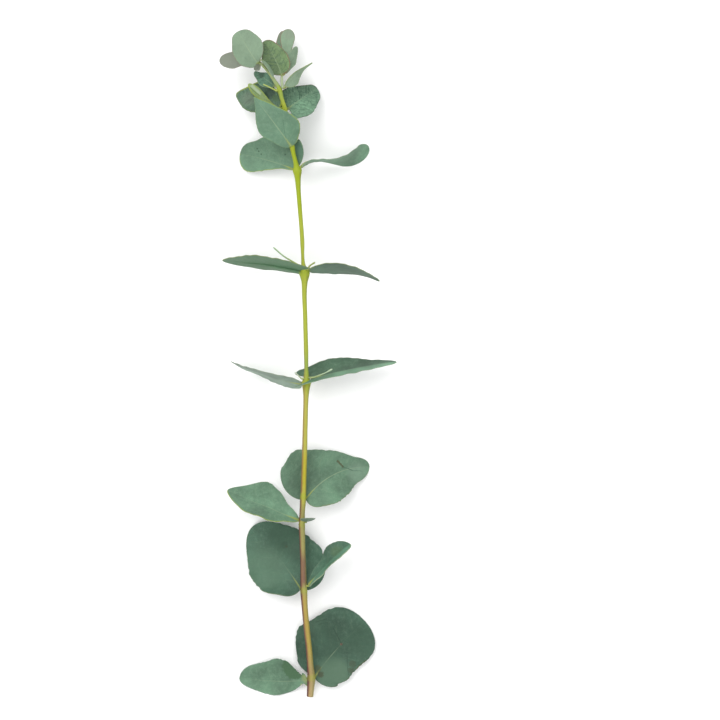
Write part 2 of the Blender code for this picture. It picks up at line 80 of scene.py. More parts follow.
# Each leaf: points of its midrib from base to tip (plan x and y, height in mm); the blade's roll about the
# midrib at base, middle and tip in degrees (0 faces up, + raises the right side); half widths of its left
# and right side at 0.2, 0.4, 0.6 and 0.8 of the midrib, in plan units; how round base and tip are; half
# width at the very base, how far its two corners reach back and how soon they end along the midrib; instead of
# that, how far two round lobes reach back and how far forward their outer ends lie; how much the blade is
# cupped; the waves of its margin (height in mm, number, phase).
LEAVES = {
    "leaf_1_left": dict(
        rib=[(307.4, 680.0, 6.8), (274, 681.0, 1.3), (239.5, 677.5, 1.6)], roll=(20, 4, 0),
        left=(9.5, 13.5, 13.5, 9.5), right=(20.5, 24.5, 21, 16), round=(0.4, 1.15), wave=(0.9, 3.0, 0.4),
        base_w=(7, 9), base_fall=22),
    "leaf_1_right": dict(
        rib=[(315.0, 677.0, 4.4), (336, 650, 1.5), (365, 621, 1.8)], roll=(6, 3, 0),
        left=(34, 43, 38, 34), right=(26, 28, 29, 29), round=(0.95, 1.25), base_w=(24, 24), base_fall=4.5, lobe=(1, 3), rise=(4, 5),
        wave=(0.8, 3.0, 1.0)),
    "leaf_2_left": dict(
        rib=[(300.2, 588.0, 11.8), (279, 558, 5.6), (252, 527, 1.0)], roll=(-12, 2, 8),
        left=(30, 34, 32.5, 22.5), right=(36, 37.5, 34.5, 24), round=(1.05, 0.95), base_w=(20, 34), base_fall=4,
        lobe=(3.5, 8.2), rise=(4, 9),
        wave=(0.8, 3.0, 0.0)),
    "leaf_2_right": dict(
        rib=[(308.6, 585.0, 17.0), (327.5, 564, 24), (350.5, 544, 22)], roll=(45, 62, 50),
        left=(7, 10.5, 15, 14), right=(5, 11, 12, 8), round=(0.9, 1.2), wave=(0.5, 2.0, 0.0),
        cup=(0.3, 0.3), base_w=(3, 3)),
    "leaf_3_left": dict(
        rib=[(299.0, 520.3, 17.0), (264, 506, 19.0), (227.5, 490, 13.0)], roll=(-35, -48, -40),
        left=(9, 18, 19, 13.5), right=(13, 23.5, 28, 17.5), round=(0.8, 0.6), wave=(0.5, 3.0, 0.0)),
    "leaf_3_front": dict(
        rib=[(306, 521.6, 19.2), (308, 519.8, 30), (309.5, 518.0, 42)], roll=(0, 0, 0), up=(0, 1, 0),
        left=(6, 7.5, 7, 5), right=(6, 7.5, 7, 5)),
    "leaf_4_right": dict(
        rib=[(306.4, 498.0, 14.4), (335, 474, 8.5), (369.5, 467, 1.0)], roll=(10, 10, 0),
        left=(38.5, 31, 22, 11.5), right=(25.5, 26, 23, 15.5), round=(1.1, 1.15), base_w=(38, 18), base_fall=4.5,
        lobe=(8.5, 3.8), rise=(9.5, 4), wave=(0.8, 3.0, 2.0)),
    "leaf_5_left": dict(
        rib=[(302.0, 384.0, 16.8), (266, 375.5, 13.5), (231, 362, 5.0)], roll=(55, 80, 80),
        left=(14, 19, 19, 12), right=(12, 19, 19, 12), round=(0.9, 0.9), cup=(0.05, 0.0), base_w=(9, 3)),
    "leaf_5_right": dict(
        rib=[(311.0, 379.0, 18.8), (350, 369.5, 20.0), (396.5, 361.6, 12)], roll=(64, 64, 66),
        left=(19, 20.5, 17, 10), right=(10, 15, 15, 10), round=(0.9, 0.9), base_w=(18, 12), back=(32, 28),
        cup=(0.25, 0.2)),
    "leaf_6_left": dict(
        rib=[(300.3, 270.8, 19.4), (263, 264.2, 15.5), (222.8, 261.4, 5.0)], roll=(-102, -105, -107),
        left=(20, 23, 22, 14), right=(18, 20, 20, 13), round=(0.9, 0.9), base_w=(20, 18), back=(18, 8),
        cup=(0.05, 0.05)),
    "leaf_6_right": dict(
        rib=[(309.4, 271.0, 19.2), (346, 269.6, 17.0), (379.5, 281.5, 11.0)], roll=(-70, -77, -80),
        left=(15, 19, 17, 10), right=(14, 19, 17, 10), round=(1.0, 0.8), cup=(0.0, 0.0), base_w=(8, 5)),
    "leaf_7_left": dict(
        rib=[(293.6, 169.0, 17.0), (267, 160.0, 9.0), (240.0, 154, 2.5)], roll=(-4, 0, 0),
        left=(4, 9, 14, 16), right=(22, 22, 22, 15), round=(1.0, 1.2), wave=(0.5, 3.0, 0.0),
        base_w=(1.5, 29), base_fall=4, lobe=(0, 5.6), rise=(0, 6)),
    "leaf_7_right": dict(
        rib=[(301.7, 168.0, 19.8), (319, 160.6, 17.8), (344, 159.0, 11.0), (368.5, 146.0, 4.0)], roll=(-82, -88, -40),
        left=(11, 15, 16, 14), right=(11, 15, 16, 14), round=(0.9, 1.0), cup=(0.0, 0.05)),
    "leaf_8_front": dict(
        rib=[(291, 146, 22.6), (271.5, 119.5, 28.5), (254.0, 97, 25.0)], roll=(0, 8, 0),
        left=(12, 17.5, 14.5, 7), right=(20, 18.5, 12.5, 6.5), round=(1.0, 0.35), base_w=(3, 10), lobe=(0, 1), rise=(0, 3)),
    "leaf_8_young": dict(
        rib=[(280.4, 110.6, 23.0), (264.8, 99.6, 23.2), (248.5, 83.8, 22.4)], roll=(0, 0, 0),
        left=(1.2, 2.0, 3.4, 4.2), right=(1.5, 2.5, 4, 4.5), cup=(0.5, 0.5)),
    "leaf_9_left": dict(
        rib=[(280.4, 107.4, 21.8), (260, 99, 18.6), (236, 94.5, 13.0)], roll=(-10, 0, 0),
        left=(11, 14, 15, 12.5), right=(13, 17.5, 16.5, 9.3), round=(1.0, 0.7)),
    "leaf_9_right": dict(
        rib=[(288.0, 108.5, 19.9), (301, 99, 13.8), (317, 88, 8.0)], roll=(25, 8, 0),
        left=(16.5, 17, 14, 9), right=(18.5, 19.5, 17, 13), round=(1.0, 1.2), base_w=(13, 19), back=(14, 17),
        wave=(0.7, 3.0, 1.0)),
    "crown_leaf_back": dict(
        rib=[(274.4, 86.2, 22.8), (265.4, 79, 22.6), (254.3, 72, 21.2)], roll=(0, 0, 0),
        left=(6, 8, 8, 5), right=(6, 7, 6, 3), round=(1.0, 1.1)),
    "crown_leaf_left_tip": dict(
        rib=[(257.5, 63, 30.7), (247.5, 48, 33.0), (238.5, 31, 31.0)], roll=(0, 0, 0),
        left=(14, 16, 15, 11), right=(12, 15.5, 15, 12), round=(1.0, 1.2), base_w=(8, 3), back=(3, 0)),
    "crown_leaf_left_side": dict(
        rib=[(256, 62, 27.6), (238, 61, 24.0), (219.5, 60.5, 20.0)], roll=(0, 0, 0),
        left=(3, 5, 8, 7), right=(4, 7, 9, 7.5), round=(1.0, 1.1)),
    "crown_leaf_left_low": dict(
        rib=[(260, 64, 26.6), (257, 67, 25.4), (254.5, 70, 23.4)], roll=(0, 0, 0),
        left=(3, 4, 4, 2.5), right=(2, 3, 3, 2)),
    "crown_leaf_sliver": dict(
        rib=[(262.0, 60.0, 31.7), (268.0, 68.0, 33.2), (273.5, 77.0, 32.2)], roll=(60, 70, 60),
        left=(4, 5, 5, 4), right=(4, 5, 5, 4)),
    "crown_leaf_right_tip": dict(
        rib=[(281.5, 75, 27.0), (275, 59, 28.5), (264, 41, 26.0)], roll=(0, 0, 0),
        left=(10.5, 12, 13, 8), right=(11.5, 13, 12, 9), round=(1.1, 1.1)),
    "crown_leaf_right_side": dict(
        rib=[(285.4, 73.0, 24.4), (292, 60, 22.0), (296.5, 46.5, 18.0)], roll=(0, 0, 0),
        left=(7, 9, 7, 4), right=(3, 5, 4, 3), round=(1.0, 1.1)),
    "crown_leaf_right_mid": dict(
        rib=[(284.0, 70, 21.4), (287, 50, 18.2), (288.5, 29, 13.0)], roll=(0, 0, 0),
        left=(4, 5, 6.5, 8), right=(4, 4.5, 5.5, 7), round=(1.0, 1.2)),
    "crown_leaf_right_back": dict(
        rib=[(282.3, 71, 18.8), (281.4, 52, 15.0), (282.8, 31, 9.0)], roll=(0, 0, 0),
        left=(4, 5, 6, 5), right=(4, 5, 6, 5), round=(1.0, 1.1)),
    "crown_leaf_fork": dict(
        rib=[(285.5, 87.0, 25.0), (294, 76, 23.5), (312.4, 62.8, 17.0)], roll=(0, 0, 0),
        left=(2, 2.5, 2.5, 1.5), right=(7.5, 8.5, 5, 1.6), round=(1.0, 0.7)),
}


def plan(px, py, z_mm):
    """The point at plan position px, py that stands z_mm above the surface."""
    z = (z_mm - GROUND) * MM
    k = (VIEW_H - z) / (VIEW_H - REF_H)
    x = (CENTRE - PLAN_X) * PX + (px - CENTRE) * PX * k
    y = (PLAN_Y - CENTRE) * PX - (py - CENTRE) * PX * k
    return np.array((x, y, z))


def through(stations, values, at):
    """A smooth curve through the values at the stations, read at the given places."""
    stations, values = np.asarray(stations, float), np.asarray(values, float)
    slope = np.gradient(values, stations)
    i = np.clip(np.searchsorted(stations, at, side="right") - 1, 0, len(stations) - 2)
    h = stations[i + 1] - stations[i]
    t = (at - stations[i]) / h
    return (
        (2 * t**3 - 3 * t**2 + 1) * values[i]
        + (t**3 - 2 * t**2 + t) * h * slope[i]
        + (3 * t**2 - 2 * t**3) * values[i + 1]
        + (t**3 - t**2) * h * slope[i + 1]
    )


def half_width(widths, round_base, round_tip, u):
    """Half width of one side of a blade: an ellipse, swelled or pinched to pass through the four widths."""
    at = np.array((0.2, 0.4, 0.6, 0.8))
    swell = np.array(widths, float) / (2 * np.sqrt(at * (1 - at)))
    swell = np.concatenate(([swell[0] * round_base], swell, [swell[-1] * round_tip]))
    swell = through((0.0, 0.2, 0.4, 0.6, 0.8, 1.0), swell, u)
    return 2 * np.sqrt(np.clip(u * (1 - u), 0, 1)) * np.maximum(swell, 0.0)


def midrib(points, u):
    """The midrib's points and unit directions: the lowest-degree curve through the given points."""
    points = np.array([plan(*p) for p in points])
    n = len(points)
    stations = np.linspace(0, 1, n)
    terms = np.linalg.solve(np.vander(stations, n, increasing=True), points)
    rib = np.vander(u, n, increasing=True) @ terms
    along = np.vander(u, n - 1, increasing=True) @ (terms[1:] * np.arange(1, n)[:, None])
    return rib, along / np.linalg.norm(along, axis=1)[:, None], terms[1] / np.linalg.norm(terms[1])


def blade(leaf, u, v):
    """Points of a blade's middle surface, u from 0 to 1 along the midrib and v from -1 (left) to 1 (right)."""
    u, v = np.asarray(u, float), np.asarray(v, float)
    rib, along, first = midrib(leaf["rib"], u)
    side = np.cross(along, np.array(leaf.get("up", (0.0, 0.0, 1.0)), float))
    side /= np.linalg.norm(side, axis=1)[:, None]
    top = np.cross(side, along)
    roll = np.radians(through((0.0, 0.5, 1.0), leaf["roll"], u))[:, None]
    side, top = np.cos(roll) * side + np.sin(roll) * top, np.cos(roll) * top - np.sin(roll) * side
    round_base, round_tip = leaf.get("round", (1.0, 1.0))
    width = np.where(
        v < 0,
        half_width(leaf["left"], round_base, round_tip, u),
        half_width(leaf["right"], round_base, round_tip, u),
    )
    base_w, back = leaf.get("base_w", (1.5, 1.5)), leaf.get("back", (0.0, 0.0))
    base_w = np.where(v < 0, base_w[0], base_w[1])
    base = base_w * (1 - u) ** leaf.get("base_fall", 3)
    back = np.where(v < 0, back[0], back[1])
    width = np.sqrt(width**2 + base**2 + (0.6 * u**6) ** 2)
    y = v * width * PX
    cup0, cup1 = leaf.get("cup", (0.15, 0.15))
    lift = (cup0 + (cup1 - cup0) * u) * y * y / (0.5 * (max(leaf["left"]) + max(leaf["right"])) * PX)
    height, number, phase = leaf.get("wave", (0.0, 3.0, 0.0))
    lift = lift + height * MM * np.sin(2 * np.pi * number * u + phase + 1.3 * v) * v * v * np.sin(np.pi * u)
    reach = ((0.4 * back + 0.35 * base_w) * v**6 - back * np.abs(v) ** 1.6) * (1 - u) ** 5
    if "lobe" in leaf:
        lobe = np.where(v < 0, leaf["lobe"][0], leaf["lobe"][1])
        rise = np.where(v < 0, leaf["rise"][0], leaf["rise"][1])
        far = np.clip(np.abs(v), 0, 1)
        reach = (rise * far**3 - 2 * lobe * np.sqrt(far * (1 - far))) * (1 - u) ** 4
    return rib + side * y[:, None] + top * lift[:, None] + PX * reach[:, None] * first


# ---- what the fine blades add ------------------------------------------------------------------
# Tones, as they look in soft daylight. Under the bright studio light the blades carry them darker, by SHADE.
TONES = {
    "sage": "678b70", "deep": "4d735d", "moss": "5c8066", "mist": "8fa594", "pale": "8faa8d", "lime": "9aa86a",
    "olive": "738f5f", "teal": "5a8069", "dark": "3c5f49", "rim": "b4c29a", "vein": "a9bd97", "bloom": "a3b8a6",
    "gold": "b4bd50", "sprout": "a6b845", "umber": "4d4522", "glade": "6a996c", "laurel": "4b6f4d", "milk": "b3c7a6", "fresh": "8ca36b", "brown": "6b4e38", "rust": "8d6050", "night": "2f4a3a", "leek": "4f7440", "khaki": "5e5e30",
    "collar": "a8b45c", "dusk": "8d9585",
}

# Each leaf's looks. tone: of the upper side; light: how dark (below 1) or light it is; halves: the same for its
# left and right half, painted light and shade, lighter where a half faces the light and darker where it is turned
# away;
# vein: strength of the midrib; margin, rim and sides: tone, width in mm and strength at left and right of the margin;
# drift: how uneven its green is; wrinkle: sunken veins and creases, with painted shade along them; gold: how yellow
# the midrib's base is; spots: plan x and y, radius in mm, tone, strength, some of them painted shade; marks: the same
# for a line between two plan points, with half its width; nicks: side, then start, deepest place and end along the
# margin, depth as part of the width; frays: plan x and y, radius, how wide the discoloured margin is there, tone,
# strength.
SHADE = 0.63
BARK_SHADE = 0.66
LOOKS = {
    "leaf_1_left": dict(
        tone="sage", light=1.05, half_shading=(1.05, 0.97), vein=0.22, gold=0.0,
        spots=[(293, 668, 8.6, "laurel", 0.92, 0.10),
               (307, 679, 3.4, "lime", 0.75)],
        marks=[(302, 685.5, 308, 686.5, 0.7, "gold", 0.8)], margin="mist", rim=0.5, sides=(0.7, 0.4)),
    "leaf_1_right": dict(
        tone="deep", light=0.78, half_shading=(0.97, 1.04), vein=0.55, margin="khaki", sides=(0.10, 0.35), rim=0.5,
        # The wide sage and dark spots paint broad light and shade over the curved blade together with its uneven
        # green; the two umber spots at plan x 352 are painted shadow where the base lobe lies over the rest of the
        # blade.
        spots=[(333, 674, 10.5, "sage", 1.0, 0.30), (308, 622, 10.0, "sage", 0.30), (328, 643, 12.0, "dark", 0.40), (362, 642, 11.0, "dark", 0.60), (352, 664, 2.4, "umber", 0.35), (352, 671, 2.2, "umber", 0.40),
               (341, 644.5, 0.8, "rust", 0.8), (320.5, 674, 2.0, "umber", 0.60), (317.5, 668.5, 2.4, "khaki", 0.50)],
        fade=(0.40, 0.62, 1.0, 0.10),
        # The night marks are painted shade: three along dark creases and one along the edge of the overlapping lobe.
        marks=[(333.5, 628, 341.5, 645, 0.34, "night", 0.65), (316, 622, 326, 619, 0.32, "night", 0.6),
               (319, 624.5, 327, 623, 0.30, "night", 0.5), (347.0, 652, 348.6, 675, 0.26, "night", 0.60)],
        frays=[(344, 681, 6.0, 0.9, "khaki", 0.9), (331, 688, 6.0, 0.6, "khaki", 0.6), (360, 665, 6.0, 0.8, "khaki", 0.6)]),
    "leaf_2_left": dict(
        tone="deep", light=0.95, vein=0.22, gold=0.7, fade=(0.10, 0.55, 1.0, 0.10), margin="lime", sides=(0.55, 0.10), rim=0.5,
        # The wide sage and dark spots paint broad light and shade over the curved blade together with its uneven
        # green.
        spots=[(284.5, 544.5, 2.2, "night", 0.60), (286, 546.5, 0.9, "umber", 0.8), (262, 570, 16, "sage", 0.50), (300, 560, 9, "dark", 0.30),
               (288, 537, 13, "dark", 0.62)], wrinkle=0.12),
    "leaf_2_right": dict(
        # Its right half is painted lighter, as a lit narrow band.
        tone="deep", light=0.98, half_shading=(1.0, 1.7), margin="rim", sides=(0.1, 0.9), rim=1.1, vein=0.1,
        spots=[(336, 551, 4, "olive", 0.30)]),
    "leaf_3_left": dict(tone="sage", light=1.26, half_shading=(0.93, 1.06), vein=0.25, margin="sprout", sides=(0.9, 0.15), rim=0.8, wrinkle=0.10),
    "leaf_3_front": dict(tone="moss", light=0.95),
    "leaf_4_right": dict(
        tone="sage", half_shading=(0.92, 1.08), vein=0.50, margin="lime", sides=(0.15, 0.55), rim=0.6, wrinkle=0.10,
        spots=[(357, 474, 7, "mist", 0.30)],
        marks=[(337.6, 461.5, 342.8, 467, 0.62, "umber", 0.75), (343, 467, 352, 470.3, 0.30, "dark", 0.6),
               (352, 470.3, 362, 471, 0.25, "dark", 0.4)]),
    # leaf_5_left: its right half is painted darker, as shade.
    "leaf_5_left": dict(tone="mist", light=1.2, half_shading=(1.0, 0.80), under="sage", margin="rim", rim=0.5, rib=0.85, neck=1.7, sink=7, collar="sprout"),
    "leaf_5_right": dict(
        # Its left half is painted darker, as shade, and its right half lighter, as lit.
        tone="moss", light=0.92, half_shading=(0.80, 1.90), under="mist", margin="rim", rim=0.6, vein=0.2, rib=0.85, neck=1.7, sink=7, collar="sprout"),
    "leaf_6_left": dict(tone="moss", light=0.90, under="glade", margin="lime", sides=(0.9, 0.2), rim=0.9, vein=0.10, gold=0.0, rib=1.05, neck=1.6, sink=9, collar="sprout"),
    "leaf_6_right": dict(tone="moss", light=0.86, under="glade", margin="lime", sides=(0.9, 0.2), rim=0.8, vein=0.10, gold=0.0, rib=1.0, neck=1.6, sink=9, collar="sprout"),
    "leaf_7_left": dict(
        tone="sage", light=1.16, drift=0.8, margin="sprout", sides=(0.8, 0.2), rim=0.7, vein=0.30, wrinkle=0.12, rib=0.85, neck=1.7, sink=6, collar="sprout",
        spots=[(257.4, 148.6, 0.42, "night", 0.9), (259.2, 151.2, 0.50, "night", 0.9), (261.4, 154, 0.42, "night", 0.9), (285, 154, 0.45, "night", 0.7),
               (299, 151, 4.2, "deep", 0.55)]),
    "leaf_7_right": dict(tone="sage", light=1.18, vein=0.15, rib=0.8, neck=1.7, sink=6, collar="sprout"),
    "leaf_8_front": dict(
        tone="sage", light=1.18, drift=0.5, vein=0.42, gold=0.6, margin="sprout", sides=(0.2, 0.8), rim=0.6, wrinkle=0.10, collar="sprout",
        spots=[(293, 129, 4.5, "moss", 0.30)],
        marks=[(283, 120, 284.5, 133, 0.16, "deep", 0.6), (284.5, 133, 286.5, 141, 0.14, "deep", 0.5), (276, 110, 279, 114, 0.16, "deep", 0.4)]),
    "leaf_8_young": dict(
        tone="fresh", light=1.15, under="fresh", drift=0.5, margin="sprout", rim=0.9, sides=(1.0, 0.7), vein=0.0, gold=0.0, collar="sprout",
        marks=[(252.5, 86.2, 259.5, 92.8, 1.15, "milk", 0.90), (250.4, 87.6, 259.4, 95.4, 0.26, "leek", 0.75)]),
    "leaf_9_left": dict(
        tone="sage", light=0.86, margin="sprout", sides=(0.2, 0.9), rim=1.2, vein=0.15, gold=0.0, veins=4.0, wrinkle=0.6, collar="sprout",
        # The night spot by the stem is painted shade in the hollow between the young leaf and the stem.
        spots=[(270, 93.5, 3.2, "night", 0.75), (276, 98, 2.4, "leek", 0.6), (248, 99, 5, "dusk", 0.35)]),
    "leaf_9_right": dict(
        tone="sage", light=1.32, half_shading=(0.90, 1.10), vein=0.35, margin="umber", sides=(0.8, 0.3), rim=0.7, veins=3.0, wrinkle=1.25,
        streaks=(1.0, 0.60), gold=0.3),
    "crown_leaf_back": dict(tone="teal", light=1.12, gold=0.0, wrinkle=0.7, veins=3.0, spots=[(262, 75, 1.8, "night", 0.7)]),
    "crown_leaf_left_tip": dict(tone="pale", light=0.96, drift=0.45, vein=0.42, margin="rust", rim=0.45, veins=3.0, wrinkle=0.08, gold=0.0),
    "crown_leaf_left_side": dict(tone="dusk", light=1.04, drift=0.6, margin="rust", rim=0.5, veins=3.0, gold=0.0, spots=[(228, 62, 6, "dusk", 0.6)]),
    "crown_leaf_left_low": dict(tone="dusk", light=1.3, veins=2.4, gold=0.0),
    "crown_leaf_sliver": dict(tone="pale", veins=2.4, gold=0.0),
    "crown_leaf_right_tip": dict(
        tone="olive", drift=0.8, margin="rust", rim=0.6, sides=(0.3, 0.9), veins=3.0, vein=0.38, gold=0.0, wrinkle=0.85, half_shading=(0.88, 1.12),
        streaks=(1.0, 0.5)),
    "crown_leaf_right_side": dict(tone="pale", light=0.88, veins=2.8, gold=0.0, wrinkle=0.1),
    "crown_leaf_right_mid": dict(tone="pale", light=1.08, drift=0.6, margin="rust", rim=0.7, sides=(0.9, 0.4), veins=2.8, gold=0.0, spots=[(290, 34, 4, "dusk", 0.4)]),
    "crown_leaf_right_back": dict(tone="pale", light=1.05, drift=0.6, margin="rust", rim=0.7, sides=(0.9, 0.4), veins=2.8, gold=0.0, spots=[(280, 36, 4, "dusk", 0.5)]),
    "crown_leaf_fork": dict(tone="pale", light=0.78, margin="sprout", rim=0.5, sides=(0.9, 0.2), veins=2.8, gold=0.0),
}

HALF_THICK = 0.20               # of a blade, in mm
VEIN_RISE = 0.62                # how far forward a side vein runs for each mm outward
FLOOR_GAP = 0.00003


def linear(hexa):
    """A colour as written for the screen, in the linear numbers that shaders take."""
    parts = [int(hexa[k:k + 2], 16) / 255 for k in (0, 2, 4)]
    return tuple(p / 12.92 if p <= 0.04045 else ((p + 0.055) / 1.055) ** 2.4 for p in parts)


def tone(name, light=1.0):
    return tuple(min(1.0, p * light * SHADE) for p in linear(TONES[name]))


# ---- mesh helpers ------------------------------------------------------------------------------
def add_mesh(name, points, faces, fields):
    """A smooth-shaded mesh object with one vector field per name in fields."""
    mesh = bpy.data.meshes.new(name)
    mesh.from_pydata(np.asarray(points).tolist(), [], faces)
    for field, values in fields.items():
        made = mesh.attributes.new(field, "FLOAT_VECTOR", "POINT")
        made.data.foreach_set("vector", np.asarray(values, np.float32).ravel())
    mesh.validate()
    mesh.shade_smooth()
    thing = bpy.data.objects.new(name, mesh)
    bpy.context.scene.collection.objects.link(thing)
    return thing


def smooth_path(points, steps):
    """A dense smooth path through the points, with the distance run at each step."""
    points = np.asarray(points, float)
    run = np.concatenate(([0.0], np.cumsum(np.linalg.norm(np.diff(points, axis=0), axis=1))))
    at = np.linspace(0.0, run[-1], steps)
    return np.stack([through(run, points[:, k], at) for k in range(3)], axis=1), run, at


def frames(path):
    """Unit directions along a path and two normals that don't twist."""
    along = np.gradient(path, axis=0)
    along /= np.linalg.norm(along, axis=1)[:, None]
    first = np.cross(along[0], (0.0, 0.0, 1.0))
    if np.linalg.norm(first) < 1e-6:
        first = np.array((1.0, 0.0, 0.0))
    side = np.zeros_like(path)
    side[0] = first / np.linalg.norm(first)
    for i in range(1, len(path)):
        s = side[i - 1] - along[i] * (side[i - 1] @ along[i])
        side[i] = s / np.linalg.norm(s)
    return along, side, np.cross(side, along)


def tube(path, radii, sides, start=0):
    """Rings round a path, closed with a point at both ends: points, faces, and per point its ring and angle.
    radii has one row per ring and one column per side."""
    along, side, up = frames(path)
    turn = 2 * np.pi * np.arange(sides) / sides
    out = side[:, None] * np.cos(turn)[None, :, None] + up[:, None] * np.sin(turn)[None, :, None]
    rings = path[:, None] + out * np.broadcast_to(radii, (len(path), sides))[..., None]
    n = len(path)
    points = np.concatenate((rings.reshape(-1, 3), path[:1], path[-1:]))
    ring = np.concatenate((np.repeat(np.arange(n), sides), (0, n - 1)))
    angle = np.concatenate((np.tile(turn, n), (0.0, 0.0)))
    faces = []
    for i in range(n - 1):
        for j in range(sides):
            k = (j + 1) % sides
            a, b, c, d = i * sides + j, i * sides + k, (i + 1) * sides + k, (i + 1) * sides + j
            faces.append((start + a, start + d, start + c, start + b))
    for j in range(sides):
        k = (j + 1) % sides
        faces.append((start + n * sides, start + j, start + k))
        faces.append((start + n * sides + 1, start + (n - 1) * sides + k, start + (n - 1) * sides + j))
    return points, faces, ring, angle


def unevenness(at, seed, low, high, terms=5):
    """An uneven wave: a few sines whose numbers and phases follow from the seed. About -1 to 1."""
    rng = np.random.default_rng(seed)
    total, most = 0.0, 0.0
    for _ in range(terms):
        size = rng.uniform(0.4, 1.0)
        total = total + size * np.sin(2 * np.pi * (rng.uniform(low, high) * at + rng.random()))
        most += size
    return total / most * 1.6


def grid_normals(p):
    normal = np.cross(np.gradient(p, axis=1), np.gradient(p, axis=0))
    length = np.linalg.norm(normal, axis=2)[..., None]
    return normal / np.maximum(length, 1e-12)


# ---- the stem's own path, which leaves grow from -------------------------------------------------
def stem_path(points, steps):
    centres = np.array([plan(x, y, z) for x, y, z, _ in points])
    path, run, at = smooth_path(centres, steps)
    return path, through(run, np.array([r for *_, r in points]), at) * MM, run, at


STEM_BONES = 700
BONE_STEP = 0.64                # mm between two points of the main stem's bones
BONES = [stem_path(STEM, STEM_BONES)[0]] + [stem_path(points, 60)[0] for points in SHOOTS.values()]
BONES = np.concatenate(BONES)


# ---- leaves --------------------------------------------------------------------------------------
def fine_leaf(name, leaf, look, seed):
    half = 0.5 * (max(leaf["left"]) + max(leaf["right"])) * PX
    rib_points = np.array([plan(*p) for p in leaf["rib"]])
    length = np.linalg.norm(np.diff(rib_points, axis=0), axis=1).sum()
    big = length > 0.020
    rows, columns = (96, 60) if big else (56, 36)
    nicks = look.get("nicks", [])

    u = 0.5 - 0.5 * np.cos(np.pi * np.linspace(0, 1, rows + 1))
    u = 0.45 * u + 0.55 * np.linspace(0, 1, rows + 1)
    for _, start, deepest, end, _ in nicks:
        u = np.union1d(u, np.concatenate((np.linspace(start, deepest, 14), np.linspace(deepest, end, 9))))
    s = np.linspace(-1, 1, columns - 1)
    v = np.sign(s) * np.abs(s) ** 0.92 * 0.985
    v = np.concatenate(([-1.0], v, [1.0]))
    U, V = np.meshgrid(u, v, indexing="ij")
    shape = U.shape

    # The margin: slightly uneven, with any nicks.
    uneven = look.get("uneven", 0.013)
    wobble = np.where(V < 0, unevenness(U, seed * 7 + 1, 3, 16), unevenness(U, seed * 7 + 2, 3, 16))
    spread = 1 + uneven * wobble * V**4 * np.sin(np.pi * U) ** 0.5
    for side, start, deepest, end, deep in nicks:
        dent = np.minimum(np.clip((U - start) / (deepest - start), 0, 1) ** 1.8, np.clip((end - U) / (end - deepest), 0, 1))
        spread -= np.where(V * side > 0, deep * dent * V**2, 0.0)
    W = V * spread

    flat_u, flat_v = U.ravel(), W.ravel()
    p = blade(leaf, flat_u, flat_v).reshape(*shape, 3)

    # Places on the blade in mm: along the midrib, across it, and from the margin.
    middle = blade(leaf, u, np.zeros_like(u))
    along = np.concatenate(([0.0], np.cumsum(np.linalg.norm(np.diff(middle, axis=0), axis=1)))) / MM
    A = np.repeat(along[:, None], shape[1], axis=1)
    C = np.sign(V) * np.linalg.norm(p - middle[:, None], axis=2) / MM
    rim = np.concatenate((p[:, 0], p[:, -1], p[-1], p[0][np.abs(C[0]) > 2.4]))
    gaps = p.reshape(-1, 1, 3) - rim[None]
    E = np.sqrt(np.einsum("ijk,ijk->ij", gaps, gaps).min(1)).reshape(shape) / MM

    # The sheet's own relief: the sunk midrib, puckers between the side veins, gentle bulges, a wavy margin.
    step = look.get("veins", 6.5)
    pucker = 0.5 + 1.6 * look.get("wrinkle", 0.0)
    vein = np.cos(2 * np.pi * ((A - VEIN_RISE * np.abs(C) - 0.008 * C**2) / step + 0.5 * (C > 0)))
    inside = np.clip(E / 3.0, 0, 1) * np.clip(np.abs(C) / 2.0, 0, 1)
    lift = -0.16 * np.exp(-((C / 0.55) ** 2)) * (1 - U) ** 0.5
    lift += -0.050 * pucker * vein * inside * min(1.0, step / 4)
    lift += 0.24 * min(1.0, half / 0.012) * (
        unevenness(A / 30 + 0.3 * C / 30, seed * 7 + 3, 0.4, 1.8) + unevenness(C / 30 - 0.2 * A / 30, seed * 7 + 4, 0.5, 2.0)
    ) * np.clip(A / 6, 0, 1)
    edge_wave = np.where(V < 0, unevenness(U, seed * 7 + 5, 2, 9), unevenness(U, seed * 7 + 6, 2, 9))
    lift += 0.28 * min(1.0, half / 0.012) * edge_wave * np.clip(1 - E / (half / MM * 0.45), 0, 1) ** 2 * np.sin(np.pi * U) ** 0.6
    p = p + grid_normals(p) * (lift * MM)[..., None]

    # A resting blade flattens on the surface instead of passing through it.
    low = (HALF_THICK + 0.03) * MM
    soft = 0.12 * MM
    p[..., 2] = low + soft * np.logaddexp(0.0, (p[..., 2] - low) / soft)

    normal = grid_normals(p)
    thick = HALF_THICK * (0.22 + 0.78 * np.sqrt(np.clip(1 - (1 - np.clip(E / 0.7, 0, 1)) ** 2, 0, 1)))
    thick += 0.12 * np.exp(-((C / 0.8) ** 2)) * (1 - U)
    top = p + normal * (thick * MM)[..., None]
    bottom = p - normal * (thick * MM)[..., None]
    bottom[..., 2] = np.maximum(bottom[..., 2], FLOOR_GAP)

    r, c = shape
    index = np.arange(r * c).reshape(r, c)
    under = index + r * c
    quads = [
        (index[:-1, :-1], index[:-1, 1:], index[1:, 1:], index[1:, :-1]),
        (under[:-1, :-1], under[1:, :-1], under[1:, 1:], under[:-1, 1:]),
        (index[:-1, 0], index[1:, 0], under[1:, 0], under[:-1, 0]),
        (index[1:, -1], index[:-1, -1], under[:-1, -1], under[1:, -1]),
        (index[0, 1:], index[0, :-1], under[0, :-1], under[0, 1:]),
        (index[-1, :-1], index[-1, 1:], under[-1, 1:], under[-1, :-1]),
    ]
    faces = [quad for q in quads for quad in zip(*(x.ravel().tolist() for x in q))]

